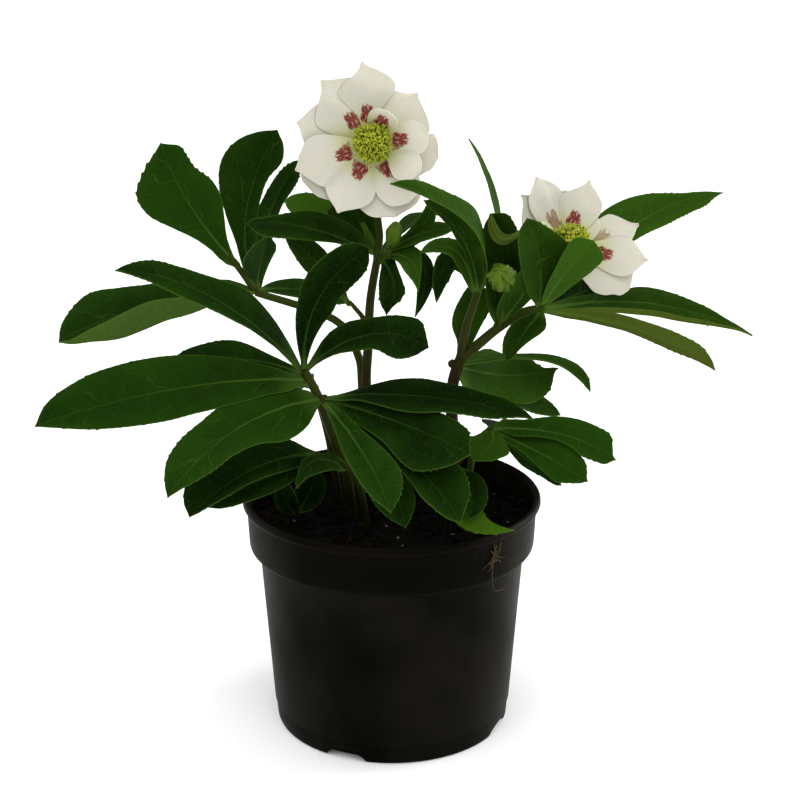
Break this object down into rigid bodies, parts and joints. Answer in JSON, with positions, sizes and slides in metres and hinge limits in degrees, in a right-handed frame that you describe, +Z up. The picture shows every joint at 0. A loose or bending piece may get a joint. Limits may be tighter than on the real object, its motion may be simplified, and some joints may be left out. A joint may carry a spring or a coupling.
{
  "type": "potted hellebore",
  "caption": "Hellebore in a round plastic nursery pot: palmate leaves on upright stalks, white layered flowers with yellow-green centres, and buds.",
  "frame": {"origin": "middle of the pot's flat underside", "axes": "+Z up from the underside along the pot's axis, front of the plant towards -Y, +X to the right seen from the front"},
  "size_m": [0.2973, 0.2027, 0.2928],
  "materials": {
    "pot_plastic": "satin",
    "soil": "matte",
    "leaf": "satin",
    "petal": "matte",
    "stamen": "matte",
    "bud": "satin"
  },
  "bodies": {
    "root": {"pot": "pot_plastic", "soil": "soil", "leaf_front": "leaf", "leaf_low_left": "leaf", "leaf_upper_left": "leaf", "leaf_low_right": "leaf", "leaf_in_pot": "leaf", "sprout": "leaf", "leaf_back_left": "leaf", "leaf_back": "leaf", "leaf_back_right": "leaf", "flower_stalk": "leaf", "leafy_stem_right": "leaf", "bloom_high": "petal", "bloom_side": "petal", "heart_high": "stamen", "heart_side": "stamen", "bud_high": "bud", "bud_side": "bud"}
  },
  "joints": []
}
